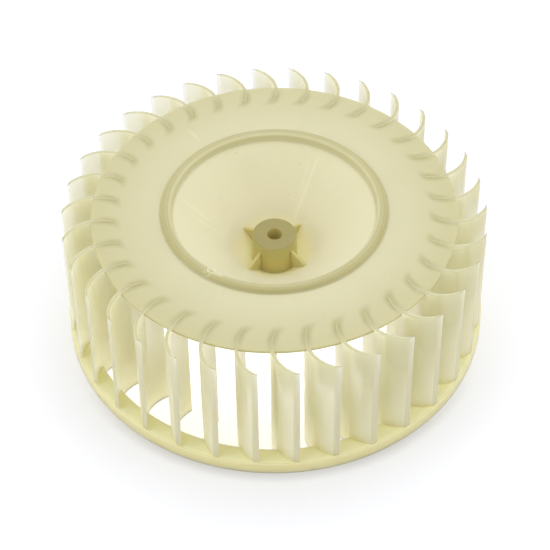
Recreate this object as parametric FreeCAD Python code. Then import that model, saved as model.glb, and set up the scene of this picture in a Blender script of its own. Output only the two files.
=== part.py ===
import FreeCAD, Part
import math
import os

# Condenser fan wheel, a single moulding in natural polypropylene.
# It stands on its intake ring, with the axis of rotation up +Z through the origin.
# Sizes are millimetres and angles are degrees.

os.makedirs("parts", exist_ok=True)

# Outer form, which narrows upwards so that the moulding leaves its cavity
FOOT_R = 110.0
OUTER_DRAFT = 1.05

# Intake ring: an upright skirt under a flat flange
RING_INNER_R = 100.6
RING_H = 7.5
RING_WALL = 2.0
RING_LIP_BEVEL = 0.5

# Blades: upright curved vanes that lean forward at their outer edge
BLADE_COUNT = 34
BLADE_FOOT_RISE = 1.0
BLADE_INNER_R = 81.2
BLADE_TURN = 94.6
BLADE_SWEEP = 5.2
BLADE_EDGE_INSET = 0.8
BLADE_FIRST_ANGLE = 84.6
BLADE_NOSE_THICK = 1.4
BLADE_MIDDLE_THICK = 1.7
BLADE_TIP_THICK = 1.1
BLADE_RUN_OUT = 6.0

# Back plate, flush with the tops of the blades
PLATE_TOP_Z = 75.2
PLATE_THICK = 2.4
PLATE_EDGE_R = 93.0

# Stiffening bead on the plate, with a notch cut in its inner flank
BEAD_INNER_R = 51.8
BEAD_OUTER_R = 57.6
BEAD_RISE = 2.6
BEAD_FLANK_LEAN = 0.7
BEAD_CREST_BEVEL = 1.2
NOTCH_ANGLE = 238.0
NOTCH_WIDTH = 6.4
NOTCH_DEPTH = 2.8
NOTCH_CLEARANCE = 1.0

# Conical dish that carries the hub, measured down from the plate's top
DISH_WALL = 2.0
DISH_RIM_DROP = 1.7
DISH_FLOOR_DROP = 35.9

# Hub with its shaft bore
BORE_R = 4.0
BORE_BEVEL = 0.5
HUB_TOP_DROP = 18.2
HUB_LENGTH = 23.0
HUB_R = 11.3
HUB_DRAFT = 1.5
HUB_EDGE_BEVEL = 0.6

# Gusset ribs between the hub and the dish
RIB_COUNT = 4
RIB_FIRST_ANGLE = 49.0
RIB_THICK = 1.5
RIB_HUB_DROP = 4.6
RIB_REACH_R = 21.3

FULL_TURN = 360.0
ORIGIN = FreeCAD.Vector(0, 0, 0)
AXIS = FreeCAD.Vector(0, 0, 1)
SIDEWAYS = FreeCAD.Vector(0, 1, 0)

hub_top_z = PLATE_TOP_Z - HUB_TOP_DROP
hub_bottom_z = hub_top_z - HUB_LENGTH
dish_floor_z = PLATE_TOP_Z - DISH_FLOOR_DROP


def tan(angle):
    return math.tan(math.radians(angle))


def outer_r(z):
    """Radius of the drafted outer form at a height."""
    return FOOT_R - z * tan(OUTER_DRAFT)


def corner(r, z, bevel=0):
    """A corner of a turned outline, sharp or bevelled."""
    return FreeCAD.Vector(r, 0, z), bevel


def in_plan(r, angle, z):
    """A point at a radius and an angle round the axis."""
    turn = math.radians(angle)
    return FreeCAD.Vector(r * math.cos(turn), r * math.sin(turn), z)


def outline(corners):
    """A closed wire through the corners, with each bevel in its place."""
    points = []
    for i, (point, bevel) in enumerate(corners):
        if not bevel:
            points.append(point)
            continue
        for neighbour in (corners[i - 1][0], corners[(i + 1) % len(corners)][0]):
            points.append(point + (neighbour - point).normalize() * bevel)
    return Part.makePolygon(points + points[:1])


def turned(corners):
    """The solid that an outline sweeps round the axis."""
    return Part.Face(outline(corners)).revolve(ORIGIN, AXIS, FULL_TURN)


def round_the_axis(shape, count, first_angle):
    """Evenly spaced copies of a shape."""
    copies = []
    for i in range(count):
        copy = shape.copy()
        copy.rotate(ORIGIN, AXIS, first_angle + i * FULL_TURN / count)
        copies.append(copy)
    return copies


def intake_ring():
    flange_under_z = RING_H - RING_WALL
    return turned([
        corner(outer_r(0), 0),
        corner(outer_r(RING_H), RING_H, bevel=RING_LIP_BEVEL),
        corner(RING_INNER_R, RING_H),
        corner(RING_INNER_R, flange_under_z),
        corner(outer_r(flange_under_z) - RING_WALL, flange_under_z),
        corner(outer_r(0) - RING_WALL, 0),
    ])


# The dish's upper face is a cone between these two circles
hub_root_r = HUB_R + (hub_top_z - dish_floor_z) * tan(HUB_DRAFT)
dish_floor = FreeCAD.Vector(hub_root_r, 0, dish_floor_z)
dish_rim = FreeCAD.Vector(BEAD_INNER_R, 0, PLATE_TOP_Z - DISH_RIM_DROP)
dish_way = (dish_rim - dish_floor).normalize()
dish_depth_way = FreeCAD.Vector(dish_way.z, 0, -dish_way.x)


def on_dish(r, depth):
    """A point at a radius and a depth below the dish's upper face."""
    start = dish_floor + dish_depth_way * depth
    return start + dish_way * ((r - start.x) / dish_way.x)


def under_dish_r(z):
    """Radius where the dish's lower face reaches a height."""
    start = dish_floor + dish_depth_way * DISH_WALL
    return start.x + (z - start.z) * dish_way.x / dish_way.z


def hub_dish_and_plate():
    plate_under_z = PLATE_TOP_Z - PLATE_THICK
    bead_top_z = PLATE_TOP_Z + BEAD_RISE
    return turned([
        corner(BORE_R, hub_top_z, bevel=BORE_BEVEL),
        corner(HUB_R, hub_top_z, bevel=HUB_EDGE_BEVEL),
        corner(dish_floor.x, dish_floor.z),
        corner(dish_rim.x, dish_rim.z),
        corner(BEAD_INNER_R + BEAD_FLANK_LEAN, bead_top_z, bevel=BEAD_CREST_BEVEL),
        corner(BEAD_OUTER_R - BEAD_FLANK_LEAN, bead_top_z, bevel=BEAD_CREST_BEVEL),
        corner(BEAD_OUTER_R, PLATE_TOP_Z),
        corner(PLATE_EDGE_R, PLATE_TOP_Z),
        corner(PLATE_EDGE_R, plate_under_z),
        corner(under_dish_r(plate_under_z), plate_under_z),
        corner(HUB_R, on_dish(HUB_R, DISH_WALL).z),
        corner(HUB_R, hub_bottom_z, bevel=HUB_EDGE_BEVEL),
        corner(BORE_R, hub_bottom_z, bevel=BORE_BEVEL),
    ])


def bead_notch():
    """What the notch removes from the bead's inner flank."""
    length = NOTCH_DEPTH + NOTCH_CLEARANCE
    height = BEAD_RISE + NOTCH_CLEARANCE
    near = FreeCAD.Vector(BEAD_INNER_R - NOTCH_CLEARANCE, -NOTCH_WIDTH / 2, PLATE_TOP_Z)
    notch = Part.makeBox(length, NOTCH_WIDTH, height, near)
    notch.rotate(ORIGIN, AXIS, NOTCH_ANGLE)
    return notch


def gusset_rib():
    """A triangular rib, standing on the dish and leaning on the hub."""
    rooted_r = (BORE_R + HUB_R) / 2
    hub_z = hub_top_z - RIB_HUB_DROP
    buried = DISH_WALL / 2
    corners = [
        FreeCAD.Vector(rooted_r, 0, hub_z),
        FreeCAD.Vector(HUB_R, 0, hub_z),
        on_dish(RIB_REACH_R, 0),
        on_dish(RIB_REACH_R, buried),
        on_dish(hub_root_r, buried),
        FreeCAD.Vector(rooted_r, 0, dish_floor_z - buried),
    ]
    face = Part.Face(Part.makePolygon(corners + corners[:1]))
    face.translate(FreeCAD.Vector(0, -RIB_THICK / 2, 0))
    return face.extrude(FreeCAD.Vector(0, RIB_THICK, 0))


def blade_section():
    """The blade's outline in plan, running out past the wheel's outer form."""
    tip = in_plan(outer_r(PLATE_TOP_Z) - BLADE_EDGE_INSET, 0, 0)
    nose = in_plan(BLADE_INNER_R, -BLADE_SWEEP, 0)
    chord = tip - nose
    across = FreeCAD.Vector(-chord.y, chord.x, 0).normalize()
    half_turn = math.radians(BLADE_TURN / 2)
    arc_r = chord.Length / 2 / math.sin(half_turn)
    centre = (tip + nose) / 2 + across * (arc_r * math.cos(half_turn))
    nose_angle = math.atan2(nose.y - centre.y, nose.x - centre.x)
    tip_angle = math.atan2(tip.y - centre.y, tip.x - centre.x)
    middle_angle = (nose_angle + tip_angle) / 2
    end_angle = tip_angle + BLADE_RUN_OUT / arc_r

    def beside_arc(angle, offset):
        spoke = FreeCAD.Vector(math.cos(angle), math.sin(angle), 0)
        return centre + spoke * (arc_r + offset)

    belly = [
        beside_arc(nose_angle, BLADE_NOSE_THICK / 2),
        beside_arc(middle_angle, BLADE_MIDDLE_THICK / 2),
        beside_arc(end_angle, BLADE_TIP_THICK / 2),
    ]
    hollow = [
        beside_arc(end_angle, -BLADE_TIP_THICK / 2),
        beside_arc(middle_angle, -BLADE_MIDDLE_THICK / 2),
        beside_arc(nose_angle, -BLADE_NOSE_THICK / 2),
    ]
    return Part.Wire([
        Part.Arc(*belly).toShape(),
        Part.makeLine(belly[-1], hollow[0]),
        Part.Arc(*hollow).toShape(),
        Part.makeLine(hollow[-1], belly[0]),
    ])


def blade():
    """One blade, which stands on the flange and hangs down inside the ring."""
    low_z = BLADE_FOOT_RISE - BLADE_RUN_OUT
    high_z = PLATE_TOP_Z + BLADE_RUN_OUT
    vane = Part.Face(blade_section()).extrude(AXIS * (high_z - low_z))
    vane.translate(AXIS * low_z)
    # The vane leans with the draft, which keeps its tip's edge at one angle round the axis
    vane.rotate(AXIS * PLATE_TOP_Z, SIDEWAYS, -OUTER_DRAFT)
    seat_z = RING_H - RING_WALL / 2
    room = turned([
        corner(0, BLADE_FOOT_RISE),
        corner(RING_INNER_R, BLADE_FOOT_RISE),
        corner(RING_INNER_R, seat_z),
        corner(outer_r(seat_z) - BLADE_EDGE_INSET, seat_z),
        corner(outer_r(PLATE_TOP_Z) - BLADE_EDGE_INSET, PLATE_TOP_Z),
        corner(0, PLATE_TOP_Z),
    ])
    # Half a turn puts the seam of the turned faces across from the blade
    room.rotate(ORIGIN, AXIS, FULL_TURN / 2)
    return vane.common(room).Solids[0]


def fan_wheel():
    blades = round_the_axis(blade(), BLADE_COUNT, BLADE_FIRST_ANGLE)
    ribs = round_the_axis(gusset_rib(), RIB_COUNT, RIB_FIRST_ANGLE)
    body = hub_dish_and_plate().cut(bead_notch())
    return body.multiFuse([intake_ring()] + blades + ribs).removeSplitter().Solids[0]


wheel = fan_wheel()
print("fan_wheel:", round(wheel.Volume), "mm3, valid", wheel.isValid(), wheel.BoundBox)
wheel.exportStep("parts/fan_wheel.step")
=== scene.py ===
import bpy
import bmesh
import math
from mathutils import Matrix, Vector

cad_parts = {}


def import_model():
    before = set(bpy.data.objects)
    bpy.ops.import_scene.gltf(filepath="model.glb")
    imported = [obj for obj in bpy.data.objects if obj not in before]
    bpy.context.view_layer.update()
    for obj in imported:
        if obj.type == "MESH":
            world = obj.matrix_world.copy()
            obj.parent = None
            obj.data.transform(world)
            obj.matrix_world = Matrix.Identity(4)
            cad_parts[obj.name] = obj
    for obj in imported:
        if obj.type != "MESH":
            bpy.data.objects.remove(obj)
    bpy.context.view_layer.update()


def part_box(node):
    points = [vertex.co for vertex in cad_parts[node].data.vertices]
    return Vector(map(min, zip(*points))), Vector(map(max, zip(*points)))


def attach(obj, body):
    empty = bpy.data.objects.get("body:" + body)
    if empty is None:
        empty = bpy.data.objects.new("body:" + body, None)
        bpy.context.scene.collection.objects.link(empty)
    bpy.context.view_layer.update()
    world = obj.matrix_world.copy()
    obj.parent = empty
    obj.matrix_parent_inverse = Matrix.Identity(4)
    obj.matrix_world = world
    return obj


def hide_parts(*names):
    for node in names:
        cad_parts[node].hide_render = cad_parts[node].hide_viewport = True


# Condenser fan wheel, one moulding in natural, milky polypropylene.
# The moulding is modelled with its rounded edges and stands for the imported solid.
# Lengths are metres and angles are radians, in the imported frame.

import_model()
wheel_low, wheel_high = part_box("fan_wheel")

# Outer form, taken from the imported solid
FOOT_R = min(wheel_high.x, wheel_high.y, -wheel_low.x, -wheel_low.y)
CREST_Z = wheel_high.z
OUTER_DRAFT = math.radians(1.05)

# Intake ring
RING_INNER_R = 0.1006
RING_H = 0.0075
RING_WALL = 0.002

# Blades
BLADE_COUNT = 34
BLADE_FOOT_Z = 0.001
BLADE_INNER_R = 0.0812
BLADE_TURN = math.radians(94.6)
BLADE_SWEEP = math.radians(5.2)
BLADE_EDGE_INSET = 0.0008
BLADE_FIRST_ANGLE = math.radians(84.6)
BLADE_NOSE_THICK = 0.0014
BLADE_MIDDLE_THICK = 0.0017
BLADE_TIP_THICK = 0.0011
BLADE_RUN_OUT = math.radians(18)
BLADE_SPARE = 0.003

# Bead and plate, which thins a little from the blades' noses to its rim
BEAD_RISE = 0.0026
BEAD_INNER_R = 0.0518
BEAD_OUTER_R = 0.0576
BEAD_LEAN = 0.0007
NOTCH_ANGLE = math.radians(238)
NOTCH_WIDTH = 0.0064
NOTCH_DEPTH = 0.0028
PLATE_TOP_Z = CREST_Z - BEAD_RISE
PLATE_THICK = 0.0024
PLATE_FLAT_R = 0.0785
PLATE_EDGE_R = 0.093
PLATE_EDGE_DROP = 0.0009

# Dish, hub and gusset ribs
DISH_WALL = 0.002
DISH_RIM_DROP = 0.0017
DISH_FLOOR_Z = PLATE_TOP_Z - 0.0359
BORE_R = 0.004
HUB_R = 0.0113
HUB_TOP_Z = PLATE_TOP_Z - 0.0182
HUB_LENGTH = 0.023
HUB_DRAFT = math.radians(1.5)
RIB_COUNT = 4
RIB_FIRST_ANGLE = math.radians(49)
RIB_THICK = 0.0015
RIB_HUB_DROP = 0.0046
RIB_REACH_R = 0.0213

# Rounded edges, given as how far each one cuts back from its corner
EDGE_ROUND = 0.0003
LIP_ROUND = 0.0005
HUB_ROUND = 0.0007
ROOT_ROUND = 0.0008
CREST_ROUND = 0.0013
NOSE_ROUND = 0.0006

# How finely curves are drawn
TURN_STEPS = 272
BLADE_STEPS = 26
ROUND_STEPS = 3
FULL_TURN = 2 * math.pi

# Places closer than this count as one
NEAR = 0.00002

# A blade's edges with more slope than the first are rounded, and faces of the moulding
# that meet with less slope than the second are shaded as one
SHARP_SLOPE = math.radians(40)
SMOOTH_SLOPE = math.radians(35)

# The three finishes are slots of one moulding
BODY_FINISH, BLADE_FINISH, RING_FINISH = range(3)

# The table top is white, and keeps a soft shadow outside the ring; along the ring's front a shadow is
# painted on it, and inside the ring painted light
FLOOR_SIZE = 8
FLOOR_ROUGHNESS = 0.9
FLOOR_WHITE = (0.8, 0.8, 0.8, 1)
FLOOR_SHADED = (0.87, 0.88, 0.935, 1)
FLOOR_GLOW = 0.165
FLOOR_PAINTED_SHADOW = 0.23
FLOOR_INSIDE_GLOW = 0.7
FLOOR_FAR_GLOW = 0.2

# The white surroundings, and how strongly they light the wheel
WHITE = (1, 1, 1, 1)
WORLD_LIGHT = 0.78

# Lamps: name, place, target, width and power in watts
LAMPS = [
    ("left", (-1.1, -0.4, 0.4), (0, 0, 0), 0.9, 3.8),
    ("right", (1.1, -0.35, 0.45), (0, 0, 0), 0.9, 3.2),
    ("back", (0.1, 0.45, 1.1), (0, 0.03, 0), 0.7, 2.2),
    ("rear", (0, 1.1, 0.4), (0, 0, 0), 0.9, 0.9),
    ("inner", (0, 0, 0.002), (0, 0, PLATE_TOP_Z), 0.212, 0.08),
]

# Camera, fitted to the photograph; its lens and sensor are in millimetres
CAMERA_PLACE = (0, -0.61105, 0.70176)
CAMERA_PITCH = math.radians(90 - 47.91)
CAMERA_ROLL = math.radians(-0.76)
CAMERA_LENS = 112.9
CAMERA_SENSOR = 36

# How far light spreads inside the plastic, and the share of that for red, green and blue
BODY_SOFTNESS = 0.002
BLADE_SOFTNESS = 0.012
RING_SOFTNESS = 0.006
SPREAD_OF_COLOURS = (1.0, 1.0, 0.85)
PLASTIC_IOR = 1.49

# Satin skin
SKIN_ROUGHNESS = 0.42
SKIN_UNEVENNESS = 0.16
SKIN_BUMP = 0.12
SKIN_DEPTH = 0.0001

# How fine each pattern in the plastic is, as repeats in a metre
CLOUD_SCALE = 30.0
SMUDGE_SCALE = 420.0
SPECK_SCALE = 130.0
GLOSS_SCALE = 55.0
RIPPLE_SCALE = 90.0
GRAIN_SCALE = 1400.0
DRAWN_SCALE = 1100.0
NOTCH_HIGHLIGHT_SCALE = 650.0

# How cloudy the tone of each finish is
BODY_CLOUD = 0.45
BLADE_CLOUD = 0.3
RING_CLOUD = 0.4

# Painted shade over the blades on the plate: how far aside it ends and is full, and its fade at the rim
BLADE_SHADE_WIDE = 0.0042
BLADE_SHADE_NARROW = 0.0004
BLADE_SHADE_FADE = 0.008

# Flow lines: angle, radii of their ends, half width and strength
FLOW_LINES = [
    (math.radians(61), 0.018, 0.051, 0.0011, 0.4),
    (math.radians(65), 0.026, 0.049, 0.0018, 0.2),
    (math.radians(166), 0.03, 0.051, 0.0016, 0.3),
    (math.radians(172), 0.024, 0.048, 0.0012, 0.25),
    (math.radians(127), 0.06, 0.079, 0.0016, 0.25),
]


def screen_colour(red, green, blue):
    """A colour as a screen shows it, in parts of 255, as light."""
    parts = [value / 255 for value in (red, green, blue)]
    return (*(v / 12.92 if v < 0.04045 else ((v + 0.055) / 1.055) ** 2.4 for v in parts), 1)


# Tones of the plastic in each place; some of them are painted light and painted shade, as said where they
# are used
PLATE_TONE = screen_colour(218, 214, 177)
PLATE_RIM_TONE = screen_colour(208, 203, 160)
DISH_TONE = screen_colour(228, 224, 194)
HUB_GLOW_TONE = screen_colour(253, 246, 211)
STREAK_TONE = screen_colour(244, 241, 218)
BEAD_TONE = screen_colour(188, 181, 129)
HUB_TONE = screen_colour(192, 182, 114)
HUB_FOOT_TONE = screen_colour(224, 206, 118)
HUB_TOP_TONE = screen_colour(167, 157, 94)
BORE_TONE = screen_colour(212, 198, 132)
RIB_TONE = screen_colour(207, 197, 134)
BLADE_TONE = screen_colour(228, 223, 183)
BLADE_GLOW_TONE = screen_colour(246, 240, 198)
BLADE_ROOT_TONE = screen_colour(210, 202, 151)
BLADE_TIP_TONE = screen_colour(186, 182, 148)
BLADE_CREST_TONE = screen_colour(166, 161, 124)
RING_TONE = screen_colour(250, 242, 197)
RING_SKIRT_TONE = screen_colour(220, 212, 164)
SPECK_TONE = screen_colour(150, 138, 96)

# How much a blade hides what is behind it, near its top where it is faced squarely, and elsewhere
BLADE_COVER_TOP = 0.55
BLADE_COVER_FOOT = 0.95

# How far each place goes towards its own tone, or back from it where the value is below zero; many of
# these are painted light and shade, as said where they are used
OVER_BLADE_SHADE = 0.8
RIM_SHADE = 0.5
INNER_FLANK_SHADE = -0.65
CREST_SHADE = -0.2
DRAWN_SHADE = 0.9
NOTCH_HIGHLIGHT_SHADE = 0.5
BLADE_ROOT_SHADE = 0.85
BLADE_FOOT_SHADE = 0.4
UNDER_PLATE_SHADE = 0.15
TIP_EDGE_SHADE = 0.85
BROW_SHADE = 0.35
BROW_OUTER_SHADE = 0.65
NEAR_PLATE_SHADE = 0.8
TOP_EDGE_SHADE = 0.75
TOP_EDGE_INNER_SHADE = 0.1
LIP_SHADE = 0.9
SPECK_SHADE = 0.25


def outer_r(z):
    """Radius of the drafted outer form at a height."""
    return FOOT_R - z * math.tan(OUTER_DRAFT)


def in_plan(r, angle):
    """A point at a radius and an angle round the axis."""
    return Vector((r * math.cos(angle), r * math.sin(angle), 0))


def work_on(piece):
    """Leaves one piece selected and active."""
    bpy.ops.object.select_all(action="DESELECT")
    piece.select_set(True)
    bpy.context.view_layer.objects.active = piece


def settle(piece, name):
    """Names a new piece and puts its place into its mesh."""
    piece.name = name
    work_on(piece)
    bpy.ops.object.transform_apply(location=True, rotation=True, scale=True)
    return piece


def pick(test):
    """In edit mode, selects the edges whose two ends and slope between faces pass a test."""
    bpy.ops.mesh.select_mode(type="EDGE")
    bpy.ops.mesh.select_all(action="DESELECT")
    shape = bmesh.from_edit_mesh(bpy.context.object.data)
    for edge in shape.edges:
        start, end = (vertex.co for vertex in edge.verts)
        edge.select = test(start, end, edge.calc_face_angle(0))
    shape.select_flush_mode()
    bmesh.update_edit_mesh(bpy.context.object.data)


def cut_away(point, normal):
    """In edit mode, cuts off what lies beyond a plane, on the side that its normal points to."""
    bpy.ops.mesh.select_all(action="SELECT")
    bpy.ops.mesh.bisect(
        plane_co=point, plane_no=Vector(normal).normalized(), use_fill=True, clear_outer=True,
        threshold=NEAR / 10,
    )


def close_up():
    """In edit mode, turns every face outwards and goes back to object mode."""
    bpy.ops.mesh.select_all(action="SELECT")
    bpy.ops.mesh.normals_make_consistent(inside=False)
    bpy.ops.object.mode_set(mode="OBJECT")


def turned(name, outline):
    """A closed turned body: a circle is drawn out through the corners of an outline."""
    first_r, first_z, _ = outline[0]
    bpy.ops.object.select_all(action="DESELECT")
    bpy.ops.mesh.primitive_circle_add(vertices=TURN_STEPS, radius=first_r, location=(0, 0, first_z))
    piece = settle(bpy.context.object, name)
    bpy.ops.object.mode_set(mode="EDIT")
    bpy.ops.mesh.select_all(action="SELECT")
    for (r, z, _), (next_r, next_z, _) in zip(outline, outline[1:]):
        bpy.ops.mesh.extrude_edges_move(TRANSFORM_OT_translate={"value": (0, 0, next_z - z)})
        bpy.ops.transform.resize(value=(next_r / r, next_r / r, 1), center_override=(0, 0, next_z))
    bpy.ops.mesh.select_mode(type="EDGE")
    bpy.ops.mesh.select_non_manifold()
    bpy.ops.mesh.bridge_edge_loops()
    for r, z, rounding in outline:
        if rounding:
            pick(lambda start, end, slope: all(
                abs(point.xy.length - r) < NEAR and abs(point.z - z) < NEAR for point in (start, end)
            ))
            bpy.ops.mesh.bevel(offset=rounding, segments=ROUND_STEPS, affect="EDGES")
    close_up()
    return piece


def combine(piece, other, operation):
    """Adds a second solid to a piece, or takes it away."""
    work_on(piece)
    bpy.ops.object.modifier_add(type="BOOLEAN")
    modifier = piece.modifiers[-1]
    modifier.operation = operation
    modifier.solver = "MANIFOLD"
    modifier.object = other
    bpy.ops.object.modifier_apply(modifier=modifier.name)
    bpy.data.objects.remove(other)


def round_the_axis(piece, count, first_angle):
    """Joins evenly spaced copies of a piece, each with its own mesh."""
    copies = []
    for i in range(count):
        copy = piece.copy()
        copy.data = piece.data.copy()
        copy.rotation_euler.z = first_angle + i * FULL_TURN / count
        bpy.context.collection.objects.link(copy)
        copies.append(copy)
    bpy.data.objects.remove(piece)
    work_on(copies[0])
    for copy in copies:
        copy.select_set(True)
    bpy.ops.object.transform_apply(location=True, rotation=True, scale=True)
    bpy.ops.object.join()
    return copies[0]


def give_finish(piece, finish):
    """Gives a piece all the finishes as slots, with one of them on its faces."""
    piece.data.materials.clear()
    for material in finishes:
        piece.data.materials.append(material)
    for face in piece.data.polygons:
        face.material_index = finish


def intake_ring():
    flange_under_z = RING_H - RING_WALL
    return turned("intake_ring", [
        (outer_r(0), 0, EDGE_ROUND),
        (outer_r(RING_H), RING_H, LIP_ROUND),
        (RING_INNER_R, RING_H, EDGE_ROUND),
        (RING_INNER_R, flange_under_z, EDGE_ROUND),
        (outer_r(flange_under_z) - RING_WALL, flange_under_z, ROOT_ROUND),
        (outer_r(0) - RING_WALL, 0, EDGE_ROUND),
    ])


# The dish's upper face runs up from this circle round the hub to its rim
hub_root_r = HUB_R + (HUB_TOP_Z - DISH_FLOOR_Z) * math.tan(HUB_DRAFT)
dish_rim_z = PLATE_TOP_Z - DISH_RIM_DROP
dish_slope = math.atan2(dish_rim_z - DISH_FLOOR_Z, BEAD_INNER_R - hub_root_r)


def on_dish(r, depth):
    """Height of the surface at a depth below the dish's upper face."""
    return DISH_FLOOR_Z + (r - hub_root_r) * math.tan(dish_slope) - depth / math.cos(dish_slope)


def hub_dish_and_plate():
    plate_under_z = PLATE_TOP_Z - PLATE_THICK
    under_dish_z = on_dish(hub_root_r, DISH_WALL)
    under_dish_r = hub_root_r + (plate_under_z - under_dish_z) / math.tan(dish_slope)
    hub_bottom_z = HUB_TOP_Z - HUB_LENGTH
    return turned("hub_dish_and_plate", [
        (BORE_R, HUB_TOP_Z, EDGE_ROUND),
        (HUB_R, HUB_TOP_Z, HUB_ROUND),
        (hub_root_r, DISH_FLOOR_Z, ROOT_ROUND),
        (BEAD_INNER_R, dish_rim_z, EDGE_ROUND),
        (BEAD_INNER_R + BEAD_LEAN, CREST_Z, CREST_ROUND),
        (BEAD_OUTER_R - BEAD_LEAN, CREST_Z, CREST_ROUND),
        (BEAD_OUTER_R, PLATE_TOP_Z, ROOT_ROUND),
        (PLATE_FLAT_R, PLATE_TOP_Z, 0),
        (PLATE_EDGE_R, PLATE_TOP_Z - PLATE_EDGE_DROP, EDGE_ROUND),
        (PLATE_EDGE_R, plate_under_z, EDGE_ROUND),
        (under_dish_r, plate_under_z, ROOT_ROUND),
        (HUB_R, on_dish(HUB_R, DISH_WALL), ROOT_ROUND),
        (HUB_R, hub_bottom_z, HUB_ROUND),
        (BORE_R, hub_bottom_z, EDGE_ROUND),
    ])


def bead_notch():
    """What the notch takes out of the bead's inner flank."""
    middle = in_plan(BEAD_INNER_R + NOTCH_DEPTH / 2 - EDGE_ROUND, NOTCH_ANGLE)
    middle.z = PLATE_TOP_Z + BEAD_RISE
    bpy.ops.object.select_all(action="DESELECT")
    bpy.ops.mesh.primitive_cube_add(
        size=1, location=middle, rotation=(0, 0, NOTCH_ANGLE),
        scale=(NOTCH_DEPTH + 2 * EDGE_ROUND, NOTCH_WIDTH, 2 * BEAD_RISE),
    )
    notch = settle(bpy.context.object, "bead_notch")
    bpy.ops.object.mode_set(mode="EDIT")
    pick(lambda start, end, slope: abs(start.z - end.z) > BEAD_RISE)
    bpy.ops.mesh.bevel(offset=EDGE_ROUND, segments=ROUND_STEPS, affect="EDGES")
    close_up()
    return notch


def gusset_rib():
    """A triangular rib between the hub and the dish, cut from a block."""
    rooted_r = (BORE_R + HUB_R) / 2
    top_z = HUB_TOP_Z - RIB_HUB_DROP
    buried_z = DISH_FLOOR_Z - DISH_WALL / 2
    middle = Vector((rooted_r + RIB_REACH_R, 0, top_z + buried_z)) / 2
    bpy.ops.object.select_all(action="DESELECT")
    bpy.ops.mesh.primitive_cube_add(
        size=1, location=middle, scale=(RIB_REACH_R - rooted_r, RIB_THICK, top_z - buried_z)
    )
    rib = settle(bpy.context.object, "gusset_rib")
    hub_end = Vector((HUB_R, 0, top_z))
    dish_end = Vector((RIB_REACH_R, 0, on_dish(RIB_REACH_R, 0)))
    edge = dish_end - hub_end
    buried_end = Vector((hub_root_r, 0, on_dish(hub_root_r, DISH_WALL / 2)))
    bpy.ops.object.mode_set(mode="EDIT")
    cut_away(hub_end, (-edge.z, 0, edge.x))
    cut_away(buried_end, (math.sin(dish_slope), 0, -math.cos(dish_slope)))
    pick(lambda start, end, slope: (
        abs((start - hub_end).cross(edge).y) < NEAR * edge.length
        and abs((end - hub_end).cross(edge).y) < NEAR * edge.length
        and abs(start.y - end.y) < NEAR
    ))
    bpy.ops.mesh.bevel(offset=EDGE_ROUND, segments=ROUND_STEPS, affect="EDGES")
    close_up()
    return round_the_axis(rib, RIB_COUNT, RIB_FIRST_ANGLE)


def arc_centre(a, b, c):
    """Centre in plan of the circle through three points."""
    scale = 2 * (a.x * (b.y - c.y) + b.x * (c.y - a.y) + c.x * (a.y - b.y))
    squares = [point.xy.length_squared for point in (a, b, c)]
    return Vector((
        (squares[0] * (b.y - c.y) + squares[1] * (c.y - a.y) + squares[2] * (a.y - b.y)) / scale,
        (squares[0] * (c.x - b.x) + squares[1] * (a.x - c.x) + squares[2] * (b.x - a.x)) / scale,
        0,
    ))


def blade_faces():
    """Three points along each curved face, from nose to past the tip, and the nose's angle."""
    tip = in_plan(outer_r(PLATE_TOP_Z) - BLADE_EDGE_INSET, 0)
    nose = in_plan(BLADE_INNER_R, -BLADE_SWEEP)
    chord = tip - nose
    across = Vector((-chord.y, chord.x, 0)).normalized()
    arc_r = chord.length / 2 / math.sin(BLADE_TURN / 2)
    centre = (tip + nose) / 2 + across * (arc_r * math.cos(BLADE_TURN / 2))
    nose_angle = math.atan2(nose.y - centre.y, nose.x - centre.x)
    stations = [
        (nose_angle, BLADE_NOSE_THICK),
        (nose_angle + BLADE_TURN / 2, BLADE_MIDDLE_THICK),
        (nose_angle + BLADE_TURN + BLADE_RUN_OUT, BLADE_TIP_THICK),
    ]
    return [
        [centre + in_plan(arc_r + side * thick / 2, angle) for angle, thick in stations]
        for side in (1, -1)
    ], nose_angle


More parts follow.
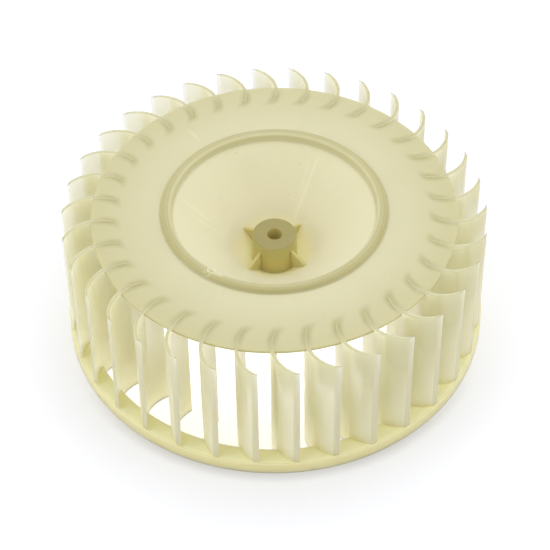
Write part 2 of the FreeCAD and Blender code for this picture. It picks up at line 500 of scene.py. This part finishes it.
def blade():
    """One blade: the upright face of its nose is spun out to its two curved faces, and leans."""
    (belly, hollow), nose_angle = blade_faces()
    height = PLATE_TOP_Z - BLADE_FOOT_Z + 2 * BLADE_SPARE
    middle = (belly[0] + hollow[0]) / 2
    middle.z = (BLADE_FOOT_Z + PLATE_TOP_Z) / 2
    bpy.ops.object.select_all(action="DESELECT")
    bpy.ops.mesh.primitive_plane_add(size=1, location=middle, rotation=(math.pi / 2, 0, nose_angle))
    bpy.context.object.scale = (BLADE_NOSE_THICK, height, 1)
    piece = settle(bpy.context.object, "blade")
    bpy.ops.object.mode_set(mode="EDIT")
    for face in (belly, hollow):
        centre = arc_centre(*face)
        spokes = [point - centre for point in face]
        turn = spokes[0].xy.angle_signed(spokes[2].xy)
        pick(lambda start, end, slope: all((point - face[0]).xy.length < NEAR for point in (start, end)))
        bpy.ops.mesh.spin(steps=BLADE_STEPS, angle=turn, center=centre, axis=(0, 0, 1))
    pick(lambda start, end, slope: all(
        min((point - face[2]).xy.length for face in (belly, hollow)) < NEAR for point in (start, end)
    ))
    bpy.ops.mesh.edge_face_add()
    bpy.ops.mesh.select_all(action="SELECT")
    bpy.ops.mesh.fill_holes(sides=0)
    bpy.ops.object.mode_set(mode="OBJECT")
    to_pivot = Matrix.Translation((0, 0, PLATE_TOP_Z))
    piece.matrix_world = to_pivot @ Matrix.Rotation(-OUTER_DRAFT, 4, "Y") @ to_pivot.inverted()
    settle(piece, "blade")
    bpy.ops.object.mode_set(mode="EDIT")
    cut_away((outer_r(0) - BLADE_EDGE_INSET, 0, 0), (math.cos(OUTER_DRAFT), 0, math.sin(OUTER_DRAFT)))
    cut_away((0, 0, PLATE_TOP_Z), (0, 0, 1))
    cut_away((0, 0, BLADE_FOOT_Z), (0, 0, -1))
    bpy.ops.mesh.select_all(action="SELECT")
    bpy.ops.mesh.normals_make_consistent(inside=False)
    for inner, rounding in ((True, NOSE_ROUND), (False, EDGE_ROUND)):
        pick(lambda start, end, slope: (
            slope > SHARP_SLOPE and abs(start.z - end.z) > height / 2
            and (start.xy.length < PLATE_EDGE_R) == inner
        ))
        bpy.ops.mesh.bevel(offset=rounding, segments=ROUND_STEPS, affect="EDGES")
    pick(lambda start, end, slope: slope > SHARP_SLOPE and abs(start.z - end.z) < NEAR)
    bpy.ops.mesh.bevel(offset=EDGE_ROUND, segments=ROUND_STEPS, affect="EDGES")
    close_up()
    return piece


def blades():
    """All the blades, which hang inside the ring and stand on its flange."""
    seat_z = RING_H - RING_WALL / 2
    clear_r = FOOT_R + RING_WALL
    under_flange = turned("under_flange", [
        (RING_INNER_R, -RING_WALL, 0),
        (clear_r, -RING_WALL, 0),
        (clear_r, seat_z, 0),
        (RING_INNER_R, seat_z, 0),
    ])
    piece = round_the_axis(blade(), BLADE_COUNT, BLADE_FIRST_ANGLE)
    combine(piece, under_flange, "DIFFERENCE")
    return piece


def feed(tree, socket, value):
    """Links a socket to what another node gives, or else sets it to a plain value."""
    if isinstance(value, bpy.types.NodeSocket):
        tree.links.new(value, socket)
    else:
        socket.default_value = value


def node(tree, kind, **inputs):
    """A shader node with some of its sockets set or linked."""
    made = tree.nodes.new(kind)
    for name, value in inputs.items():
        feed(tree, made.inputs[name.replace("_", " ")], value)
    return made


def maths(tree, operation, *values):
    """The result of a Math node, whose inputs are set or linked."""
    made = tree.nodes.new("ShaderNodeMath")
    made.operation = operation
    for socket, value in zip(made.inputs, values):
        feed(tree, socket, value)
    return made.outputs["Value"]


def times(tree, first, second):
    """The product of two values or masks."""
    return maths(tree, "MULTIPLY", first, second)


def stronger(tree, first, second):
    """The larger of two masks."""
    return maths(tree, "MAXIMUM", first, second)


def measure(tree, operation, place, other=None):
    """The number that a Vector Math node gives for one or two vectors."""
    made = node(tree, "ShaderNodeVectorMath", Vector=place)
    made.operation = operation
    if other is not None:
        feed(tree, made.inputs[1], other)
    return made.outputs["Value"]


def ramp(tree, value, start, end):
    """A mask that rises smoothly from 0 to 1 as a value goes from start to end."""
    made = node(tree, "ShaderNodeMapRange", Value=value, From_Min=start, From_Max=end)
    made.interpolation_type = "SMOOTHSTEP"
    return made.outputs["Result"]


def blend(tree, mask, plain, marked):
    """One colour where a mask is 0 and another where it is 1."""
    made = tree.nodes.new("ShaderNodeMix")
    made.data_type = "RGBA"
    for socket, value in ((made.inputs[0], mask), (made.inputs[6], plain), (made.inputs[7], marked)):
        feed(tree, socket, value)
    return made.outputs[2]


def effect(name, inputs, outputs):
    """An empty shader group with its sockets, and the two nodes that stand for them inside."""
    group = bpy.data.node_groups.new(name, "ShaderNodeTree")
    for side, sockets in (("INPUT", inputs), ("OUTPUT", outputs)):
        for label, kind in sockets.items():
            group.interface.new_socket(name=label, in_out=side, socket_type="NodeSocket" + kind)
    return group, group.nodes.new("NodeGroupInput"), group.nodes.new("NodeGroupOutput")


def placed(tree, group, **inputs):
    """An effect placed in a material, with its own values."""
    made = tree.nodes.new("ShaderNodeGroup")
    made.node_tree = group
    for name, value in inputs.items():
        feed(tree, made.inputs[name], value)
    return made


def milky_tone():
    """Natural plastic: paler where it is thin, yellower where it is thick, and a little cloudy; the mix
    between the two tones also carries painted light and shade.
    """
    group, given, made = effect(
        "milky_tone",
        {"Position": "Vector", "Thin": "Color", "Thick": "Color", "Depth": "Float", "Cloud": "Float"},
        {"Colour": "Color"},
    )
    place = given.outputs["Position"]
    broad = node(group, "ShaderNodeTexNoise", Vector=place, Scale=CLOUD_SCALE, Detail=3.0)
    fine = node(group, "ShaderNodeTexNoise", Vector=place, Scale=SMUDGE_SCALE, Detail=2.0)
    drift = maths(group, "MULTIPLY_ADD", broad.outputs["Fac"], 0.75, -0.5)
    grain = maths(group, "MULTIPLY_ADD", fine.outputs["Fac"], 0.25, drift)
    depth = maths(group, "MULTIPLY_ADD", grain, given.outputs["Cloud"], given.outputs["Depth"])
    colour = blend(group, depth, given.outputs["Thin"], given.outputs["Thick"])
    dust = node(group, "ShaderNodeTexVoronoi", Vector=place, Scale=SPECK_SCALE)
    speck = ramp(group, dust.outputs["Distance"], 0.07, 0.03)
    colour = blend(group, times(group, speck, SPECK_SHADE), colour, SPECK_TONE)
    group.links.new(colour, made.inputs["Colour"])
    return group


def moulded_skin():
    """A satin skin: uneven gloss and a very fine grain."""
    group, given, made = effect(
        "moulded_skin",
        {"Position": "Vector", "Satin": "Float", "Unevenness": "Float"},
        {"Roughness": "Float", "Height": "Float"},
    )
    place = given.outputs["Position"]
    patches = node(group, "ShaderNodeTexNoise", Vector=place, Scale=GLOSS_SCALE, Detail=4.0)
    grain = node(group, "ShaderNodeTexNoise", Vector=place, Scale=GRAIN_SCALE, Detail=2.0)
    ripple = node(group, "ShaderNodeTexNoise", Vector=place, Scale=RIPPLE_SCALE, Detail=1.0)
    swing = maths(group, "SUBTRACT", patches.outputs["Fac"], 0.5)
    gloss = maths(group, "MULTIPLY_ADD", swing, given.outputs["Unevenness"], given.outputs["Satin"])
    height = maths(group, "MULTIPLY_ADD", ripple.outputs["Fac"], 2.0, grain.outputs["Fac"])
    group.links.new(gloss, made.inputs["Roughness"])
    group.links.new(height, made.inputs["Height"])
    return group


def blade_line():
    """How far a point is from the middle line of the nearest blade, seen from above."""
    group, given, made = effect(
        "blade_line", {"Position": "Vector"}, {"Distance": "Float", "Radius": "Float"}
    )
    (belly, hollow), nose_angle = blade_faces()
    middle_line = [(outer + inner) / 2 for outer, inner in zip(belly, hollow)]
    centre = arc_centre(*middle_line)
    share = FULL_TURN / BLADE_COUNT
    apart = node(group, "ShaderNodeSeparateXYZ", Vector=given.outputs["Position"])
    x, y = apart.outputs["X"], apart.outputs["Y"]
    radius = maths(group, "SQRT", maths(group, "MULTIPLY_ADD", x, x, times(group, y, y)))
    angle = maths(group, "SUBTRACT", maths(group, "ARCTAN2", y, x), BLADE_FIRST_ANGLE)
    folded = maths(group, "WRAP", angle, share / 2 - BLADE_SWEEP, -share / 2 - BLADE_SWEEP)
    in_first = node(
        group, "ShaderNodeCombineXYZ",
        X=times(group, radius, maths(group, "COSINE", folded)),
        Y=times(group, radius, maths(group, "SINE", folded)),
    )
    reach = measure(group, "DISTANCE", in_first.outputs["Vector"], centre)
    off_line = maths(group, "SUBTRACT", reach, (middle_line[0] - centre).length)
    group.links.new(maths(group, "ABSOLUTE", off_line), made.inputs["Distance"])
    group.links.new(radius, made.inputs["Radius"])
    return group


def streak():
    """A faint line that runs outwards across the moulding, with soft sides and ends."""
    group, given, made = effect(
        "streak",
        {"Position": "Vector", "Angle": "Float", "Start": "Float", "End": "Float", "Width": "Float"},
        {"Mask": "Float"},
    )
    turned_back = node(
        group, "ShaderNodeVectorRotate", Vector=given.outputs["Position"],
        Angle=times(group, given.outputs["Angle"], -1.0),
    )
    apart = node(group, "ShaderNodeSeparateXYZ", Vector=turned_back.outputs["Vector"])
    along = apart.outputs["X"]
    aside = maths(group, "ABSOLUTE", apart.outputs["Y"])
    start, end, width = (given.outputs[label] for label in ("Start", "End", "Width"))
    beside = ramp(group, aside, width, 0.0)
    fade = times(group, width, 6.0)
    begun = ramp(group, along, start, maths(group, "ADD", start, fade))
    not_over = ramp(group, along, end, maths(group, "SUBTRACT", end, fade))
    mask = times(group, beside, times(group, begun, not_over))
    group.links.new(mask, made.inputs["Mask"])
    return group


def plastic(name, softness):
    """The parts that all the finishes of the plastic share: a soft, satin shader and its skin."""
    material = bpy.data.materials.new(name)
    material.use_nodes = True
    tree = material.node_tree
    shader = tree.nodes["Principled BSDF"]
    place = node(tree, "ShaderNodeTexCoord").outputs["Object"]
    skin = placed(
        tree, skin_effect, Position=place, Satin=SKIN_ROUGHNESS, Unevenness=SKIN_UNEVENNESS
    )
    bump = node(
        tree, "ShaderNodeBump", Height=skin.outputs["Height"], Strength=SKIN_BUMP, Distance=SKIN_DEPTH
    )
    tree.links.new(skin.outputs["Roughness"], shader.inputs["Roughness"])
    tree.links.new(bump.outputs["Normal"], shader.inputs["Normal"])
    shader.inputs["IOR"].default_value = PLASTIC_IOR
    shader.inputs["Subsurface Weight"].default_value = 1.0
    shader.inputs["Subsurface Radius"].default_value = SPREAD_OF_COLOURS
    shader.inputs["Subsurface Scale"].default_value = softness
    return material, tree, shader, place


def body_plastic():
    """Plate, dish and hub, whose tone follows how thick each of them is, with painted light and shade in
    places.
    """
    material, tree, shader, place = plastic("body_plastic", BODY_SOFTNESS)
    nearest = placed(tree, line_effect, Position=place)
    r = nearest.outputs["Radius"]
    z = node(tree, "ShaderNodeSeparateXYZ", Vector=place).outputs["Z"]
    on_bead = times(
        tree, ramp(tree, r, BEAD_INNER_R - EDGE_ROUND, BEAD_INNER_R + EDGE_ROUND),
        ramp(tree, r, BEAD_OUTER_R + CREST_ROUND, BEAD_OUTER_R - EDGE_ROUND),
    )
    inner_flank = ramp(tree, r, BEAD_INNER_R + 2 * CREST_ROUND, BEAD_INNER_R + CREST_ROUND)
    bead_middle = (BEAD_INNER_R + BEAD_OUTER_R) / 2
    off_middle = maths(tree, "ABSOLUTE", maths(tree, "SUBTRACT", r, bead_middle))
    crest = ramp(tree, off_middle, 0.75 * CREST_ROUND, 0.25 * CREST_ROUND)
    in_dish = ramp(tree, r, BEAD_INNER_R, BEAD_INNER_R - CREST_ROUND)
    near_hub = ramp(tree, r, 2.2 * HUB_R, hub_root_r)
    on_hub = ramp(tree, r, hub_root_r + EDGE_ROUND, hub_root_r - EDGE_ROUND)
    past_nose = ramp(tree, r, PLATE_FLAT_R - 3 * NOSE_ROUND, BLADE_INNER_R + NOSE_ROUND)
    off_rim = ramp(tree, r, PLATE_EDGE_R, PLATE_EDGE_R - BLADE_SHADE_FADE)
    over_blade = times(
        tree, ramp(tree, nearest.outputs["Distance"], BLADE_SHADE_WIDE, BLADE_SHADE_NARROW),
        times(tree, past_nose, off_rim),
    )
    on_rim = ramp(tree, r, PLATE_EDGE_R - 3 * EDGE_ROUND, PLATE_EDGE_R)
    dish_z = maths(tree, "MULTIPLY_ADD", r, math.tan(dish_slope), on_dish(0, 0))
    off_dish = maths(tree, "SUBTRACT", z, dish_z)
    on_rib = times(tree, in_dish, ramp(tree, off_dish, 0, RIB_THICK / 2))
    in_bore = ramp(tree, r, BORE_R + EDGE_ROUND, BORE_R - EDGE_ROUND)
    # Painted shade: the plate darkens towards its rim
    outwards = ramp(tree, r, BEAD_OUTER_R, PLATE_EDGE_R)
    thin = blend(tree, outwards, PLATE_TONE, PLATE_RIM_TONE)
    # Painted light: the dish is paler than the plate, as if lit through from below
    thin = blend(tree, in_dish, thin, DISH_TONE)
    for angle, start, end, width, strength in FLOW_LINES:
        line = placed(tree, streak_effect, Position=place, Angle=angle, Start=start, End=end, Width=width)
        thin = blend(tree, times(tree, line.outputs["Mask"], strength), thin, STREAK_TONE)
    # Painted glow on the dish round the hub's foot
    thin = blend(tree, near_hub, thin, HUB_GLOW_TONE)
    thin = blend(tree, on_rib, thin, RIB_TONE)
    on_top = ramp(tree, z, HUB_TOP_Z - HUB_ROUND, HUB_TOP_Z - EDGE_ROUND)
    # Painted light: the hub's flank is paler and more amber towards its foot
    down_flank = ramp(tree, z, HUB_TOP_Z - 2 * HUB_ROUND, DISH_FLOOR_Z)
    flank = blend(tree, down_flank, HUB_TONE, HUB_FOOT_TONE)
    thick = blend(tree, on_hub, BEAD_TONE, blend(tree, on_top, flank, HUB_TOP_TONE))
    # Painted light in the bore, which is paler than the hub's top
    thick = blend(tree, in_bore, thick, BORE_TONE)
    depth = stronger(tree, on_bead, on_hub)
    # Painted shade over each blade, where it keeps light from coming up through the plate
    depth = stronger(tree, depth, times(tree, over_blade, OVER_BLADE_SHADE))
    depth = stronger(tree, depth, times(tree, on_rim, RIM_SHADE))
    # Painted light on the bead's inner flank
    depth = maths(tree, "MULTIPLY_ADD", times(tree, inner_flank, on_bead), INNER_FLANK_SHADE, depth)
    # Painted highlight along the bead's crest
    depth = maths(tree, "MULTIPLY_ADD", crest, CREST_SHADE, depth)
    rings = node(tree, "ShaderNodeTexNoise", Scale=DRAWN_SCALE, Detail=1.0)
    rings.noise_dimensions = "1D"
    tree.links.new(r, rings.inputs["W"])
    drawn = times(tree, on_bead, maths(tree, "SUBTRACT", rings.outputs["Fac"], 0.5))
    depth = maths(tree, "MULTIPLY_ADD", drawn, DRAWN_SHADE, depth)
    tone = placed(
        tree, tone_effect, Position=place, Thin=thin, Thick=thick, Depth=depth, Cloud=BODY_CLOUD
    )
    notch_end = in_plan(BEAD_INNER_R + NOTCH_DEPTH, NOTCH_ANGLE - 0.6 * NOTCH_WIDTH / BEAD_INNER_R)
    notch_end.z = CREST_Z - BEAD_RISE / 2
    reach = measure(tree, "DISTANCE", place, notch_end)
    # Painted highlight: pale ticks at one end of the notch
    ticks = node(tree, "ShaderNodeTexNoise", Vector=place, Scale=NOTCH_HIGHLIGHT_SCALE, Detail=1.0)
    notch_highlight = times(
        tree, ramp(tree, reach, 1.3 * NOTCH_DEPTH, NOTCH_DEPTH / 2),
        ramp(tree, ticks.outputs["Fac"], 0.46, 0.6),
    )
    colour = blend(tree, times(tree, notch_highlight, NOTCH_HIGHLIGHT_SHADE), tone.outputs["Colour"], STREAK_TONE)
    tree.links.new(colour, shader.inputs["Base Color"])
    return material


def blade_plastic():
    """Blades, which are thin enough to let some of what is behind them through."""
    material, tree, shader, place = plastic("blade_plastic", BLADE_SOFTNESS)
    r = placed(tree, line_effect, Position=place).outputs["Radius"]
    z = node(tree, "ShaderNodeSeparateXYZ", Vector=place).outputs["Z"]
    geometry = node(tree, "ShaderNodeNewGeometry")
    root = ramp(tree, r, FOOT_R, RING_INNER_R - RING_WALL)
    foot = ramp(tree, z, RING_H + 3 * RING_WALL, RING_H)
    upwards = ramp(tree, z, RING_H, PLATE_TOP_Z)
    under_plate = ramp(tree, z, PLATE_TOP_Z - 5 * PLATE_THICK, PLATE_TOP_Z - PLATE_THICK)
    inboard = ramp(tree, r, PLATE_EDGE_R + 2 * PLATE_THICK, PLATE_EDGE_R)
    outboard = ramp(tree, r, PLATE_EDGE_R - 2 * PLATE_THICK, FOOT_R - PLATE_THICK)
    by_plate = times(tree, upwards, ramp(tree, r, PLATE_EDGE_R + 3 * PLATE_THICK, PLATE_EDGE_R))
    over_plate = ramp(tree, r, PLATE_EDGE_R + 4 * PLATE_THICK, PLATE_EDGE_R)
    depth = times(tree, root, BLADE_ROOT_SHADE)
    # Darker and yellower at the foot, where the blade joins the flange, with painted shade in that corner
    depth = maths(tree, "MULTIPLY_ADD", foot, BLADE_FOOT_SHADE, depth)
    # Painted shade on the blade under the plate
    depth = maths(tree, "MULTIPLY_ADD", times(tree, under_plate, inboard), UNDER_PLATE_SHADE, depth)
    tone = placed(
        tree, tone_effect, Position=place, Thin=BLADE_TONE, Thick=BLADE_ROOT_TONE, Depth=depth,
        Cloud=BLADE_CLOUD,
    )
    # Painted light on the blade beside the plate's rim
    colour = blend(tree, times(tree, by_plate, NEAR_PLATE_SHADE), tone.outputs["Colour"], BLADE_GLOW_TONE)

    # Painted shade: the tip's edge and the upper outer part are greyer, most of all on the side that
    # faces outwards
    slant = maths(tree, "MULTIPLY_ADD", z, math.tan(OUTER_DRAFT), r)
    tip_r = outer_r(0) - BLADE_EDGE_INSET
    tip_edge = ramp(tree, slant, tip_r - 2 * EDGE_ROUND, tip_r)
    top_edge = ramp(tree, z, PLATE_TOP_Z - 2 * EDGE_ROUND, PLATE_TOP_Z - EDGE_ROUND / 2)
    outwards = measure(tree, "DOT_PRODUCT", place, geometry.outputs["Normal"])
    outer_side = times(tree, upwards, ramp(tree, outwards, 0, BLADE_INNER_R))
    brow = maths(tree, "MULTIPLY_ADD", outer_side, BROW_OUTER_SHADE, BROW_SHADE)
    brow = times(tree, brow, times(tree, outboard, upwards))
    colour = blend(
        tree, stronger(tree, times(tree, tip_edge, TIP_EDGE_SHADE), brow), colour, BLADE_TIP_TONE
    )
    # Painted shade along the top edge, a little stronger over the plate
    crest = maths(tree, "MULTIPLY_ADD", over_plate, TOP_EDGE_INNER_SHADE, TOP_EDGE_SHADE)
    colour = blend(tree, times(tree, top_edge, crest), colour, BLADE_CREST_TONE)
    tree.links.new(colour, shader.inputs["Base Color"])

    # A blade hides less near its top, where it is faced squarely, but not at its edges and root
    high = ramp(tree, z, CREST_Z / 4, CREST_Z)
    glancing = node(tree, "ShaderNodeLayerWeight", Blend=0.5).outputs["Facing"]
    see_through = times(tree, high, maths(tree, "SUBTRACT", 1.0, glancing))
    cover = maths(
        tree, "MULTIPLY_ADD", see_through, BLADE_COVER_TOP - BLADE_COVER_FOOT, BLADE_COVER_FOOT
    )
    for mask in (tip_edge, top_edge, times(tree, root, BLADE_ROOT_SHADE), outer_side):
        cover = stronger(tree, cover, mask)
    front = maths(tree, "SUBTRACT", 1.0, geometry.outputs["Backfacing"])
    tree.links.new(times(tree, cover, front), shader.inputs["Alpha"])
    return material


def ring_plastic():
    """Intake ring, pale with painted light, and darker on its skirt and its outer lip with painted shade.
    """
    material, tree, shader, place = plastic("ring_plastic", RING_SOFTNESS)
    z = node(tree, "ShaderNodeSeparateXYZ", Vector=place).outputs["Z"]
    # Painted shade: the ring is darker between its foot and its top
    depth = times(
        tree, ramp(tree, z, RING_H - EDGE_ROUND, RING_H - RING_WALL), ramp(tree, z, 0, RING_WALL)
    )
    r = placed(tree, line_effect, Position=place).outputs["Radius"]
    # Painted shade on the ring's outer face and lip
    lip = ramp(tree, r, FOOT_R - RING_WALL / 2, FOOT_R - LIP_ROUND)
    depth = stronger(tree, depth, times(tree, lip, LIP_SHADE))
    # Painted light: the ring's own tone is paler than the rest of the plastic
    tone = placed(
        tree, tone_effect, Position=place, Thin=RING_TONE, Thick=RING_SKIRT_TONE, Depth=depth,
        Cloud=RING_CLOUD,
    )
    tree.links.new(tone.outputs["Colour"], shader.inputs["Base Color"])
    return material


def moulded_wheel():
    """The whole moulding as one closed mesh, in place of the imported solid."""
    wheel = hub_dish_and_plate()
    give_finish(wheel, BODY_FINISH)
    combine(wheel, bead_notch(), "DIFFERENCE")
    added = [(gusset_rib(), BODY_FINISH), (blades(), BLADE_FINISH), (intake_ring(), RING_FINISH)]
    for part, finish in added:
        give_finish(part, finish)
        combine(wheel, part, "UNION")
    wheel.name = "moulded_wheel"
    work_on(wheel)
    bpy.ops.object.shade_smooth_by_angle(angle=SMOOTH_SLOPE)
    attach(wheel, "root")
    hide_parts("fan_wheel")
    return wheel


def seen_directly(tree):
    """A mask that is 1 for what the camera sees, mirrored or through the plastic too."""
    rays = node(tree, "ShaderNodeLightPath")
    seen = rays.outputs["Is Camera Ray"]
    for kind in ("Is Glossy Ray", "Is Transmission Ray"):
        seen = stronger(tree, seen, rays.outputs[kind])
    return seen


def floor():
    """A white table top that keeps the wheel's shadow, with a painted shadow along the ring's front and
    painted light inside the ring.
    """
    bpy.ops.object.select_all(action="DESELECT")
    bpy.ops.mesh.primitive_plane_add(size=FLOOR_SIZE, location=(0, 0, wheel_low.z))
    top = settle(bpy.context.object, "floor")
    material = bpy.data.materials.new("white_table")
    material.use_nodes = True
    tree = material.node_tree
    shader = tree.nodes["Principled BSDF"]
    shader.inputs["Roughness"].default_value = FLOOR_ROUGHNESS
    shader.inputs["Specular IOR Level"].default_value = 0.0
    seen = seen_directly(tree)
    place = node(tree, "ShaderNodeTexCoord").outputs["Object"]
    reach = measure(tree, "LENGTH", place)
    y = node(tree, "ShaderNodeSeparateXYZ", Vector=place).outputs["Y"]
    # Painted light on the floor inside the ring, where the camera sees it
    inside = node(
        tree, "ShaderNodeMapRange", Value=reach, From_Min=RING_INNER_R, From_Max=RING_INNER_R - RING_WALL
    )
    # Painted shadow along the ring's front
    painted_shadow = times(
        tree, ramp(tree, reach, FOOT_R + RING_H, FOOT_R), ramp(tree, y, -FOOT_R / 4, -FOOT_R)
    )
    far = ramp(tree, reach, 2 * FOOT_R, 8 * FOOT_R)
    glow = maths(tree, "MULTIPLY_ADD", inside.outputs["Result"], FLOOR_INSIDE_GLOW, FLOOR_GLOW)
    glow = maths(tree, "MULTIPLY_ADD", painted_shadow, -FLOOR_PAINTED_SHADOW, glow)
    glow = maths(tree, "MULTIPLY_ADD", far, FLOOR_FAR_GLOW, glow)
    shader.inputs["Emission Color"].default_value = WHITE
    tree.links.new(blend(tree, seen, FLOOR_WHITE, FLOOR_SHADED), shader.inputs["Base Color"])
    tree.links.new(times(tree, glow, seen), shader.inputs["Emission Strength"])
    top.data.materials.append(material)


def lamp(name, place, target, size, power):
    """A soft round lamp that points at a target."""
    data = bpy.data.lights.new(name, "AREA")
    data.shape = "DISK"
    data.size = size
    data.energy = power
    lit = bpy.data.objects.new(name, data)
    bpy.context.collection.objects.link(lit)
    lit.location = place
    lit.rotation_euler = (Vector(target) - Vector(place)).to_track_quat("-Z", "Y").to_euler()
    lit.visible_camera = False


def camera():
    """The photograph's view of the wheel."""
    data = bpy.data.cameras.new("camera")
    data.sensor_width = CAMERA_SENSOR
    data.lens = CAMERA_LENS
    seen_from = bpy.data.objects.new("camera", data)
    bpy.context.collection.objects.link(seen_from)
    turn = Matrix.Rotation(CAMERA_PITCH, 4, "X") @ Matrix.Rotation(CAMERA_ROLL, 4, "Z")
    seen_from.matrix_world = Matrix.Translation(CAMERA_PLACE) @ turn
    bpy.context.scene.camera = seen_from


def world():
    """White all round, brighter to the eye than as a light on the wheel."""
    bpy.context.scene.world = bpy.data.worlds.new("studio")
    bpy.context.scene.world.use_nodes = True
    tree = bpy.context.scene.world.node_tree
    light = tree.nodes["Background"]
    light.inputs["Color"].default_value = WHITE
    strength = maths(tree, "MULTIPLY_ADD", seen_directly(tree), 1 - WORLD_LIGHT, WORLD_LIGHT)
    tree.links.new(strength, light.inputs["Strength"])


tone_effect = milky_tone()
streak_effect = streak()
skin_effect = moulded_skin()
line_effect = blade_line()
finishes = [body_plastic(), blade_plastic(), ring_plastic()]
moulded_wheel()
floor()
for values in LAMPS:
    lamp(*values)
camera()
world()
bpy.context.scene.view_settings.view_transform = "Standard"
